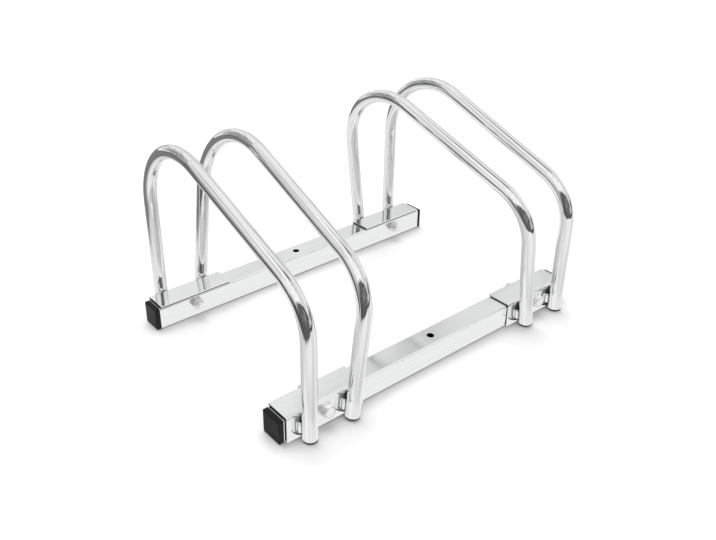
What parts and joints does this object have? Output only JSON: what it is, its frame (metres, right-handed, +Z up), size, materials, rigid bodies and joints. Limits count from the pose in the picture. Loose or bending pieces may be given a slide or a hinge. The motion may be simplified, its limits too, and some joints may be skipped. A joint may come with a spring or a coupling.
{
  "type": "floor bike rack",
  "caption": "Low floor rack that holds bicycle wheels upright between pairs of leaning bent tube hoops, welded to brackets bolted on square rails with end caps.",
  "frame": {"origin": "on the floor, in the middle of the rack", "axes": "+X along the rails to the right, +Y from the front rail (low end of the hoops) to the rear rail (high end), +Z up"},
  "size_m": [0.436, 0.317, 0.24],
  "materials": {
    "rail_plating": "bright zinc plate",
    "hoop_plating": "polished bright zinc plate",
    "bracket_plating": "bright zinc plate",
    "fastener_plating": "bright zinc plate",
    "cap_plastic": "moulded black",
    "plug_plastic": "moulded black"
  },
  "bodies": {
    "root": {"front_rail": "rail_plating", "rear_rail": "rail_plating", "front_left_cap": "cap_plastic", "front_right_cap": "cap_plastic", "rear_left_cap": "cap_plastic", "rear_right_cap": "cap_plastic", "left_outer_hoop": "hoop_plating", "left_inner_hoop": "hoop_plating", "right_inner_hoop": "hoop_plating", "right_outer_hoop": "hoop_plating", "front_left_bracket": "bracket_plating", "front_right_bracket": "bracket_plating", "rear_left_bracket": "bracket_plating", "rear_right_bracket": "bracket_plating", "left_outer_front_plug": "plug_plastic", "left_outer_rear_plug": "plug_plastic", "left_inner_front_plug": "plug_plastic", "left_inner_rear_plug": "plug_plastic", "right_inner_front_plug": "plug_plastic", "right_inner_rear_plug": "plug_plastic", "right_outer_front_plug": "plug_plastic", "right_outer_rear_plug": "plug_plastic", "front_left_bolt": "fastener_plating", "front_right_bolt": "fastener_plating", "rear_left_bolt": "fastener_plating", "rear_right_bolt": "fastener_plating", "front_left_washer": "fastener_plating", "front_right_washer": "fastener_plating", "rear_left_washer": "fastener_plating", "rear_right_washer": "fastener_plating", "front_left_nut": "fastener_plating", "front_right_nut": "fastener_plating", "rear_left_nut": "fastener_plating", "rear_right_nut": "fastener_plating"}
  },
  "joints": []
}
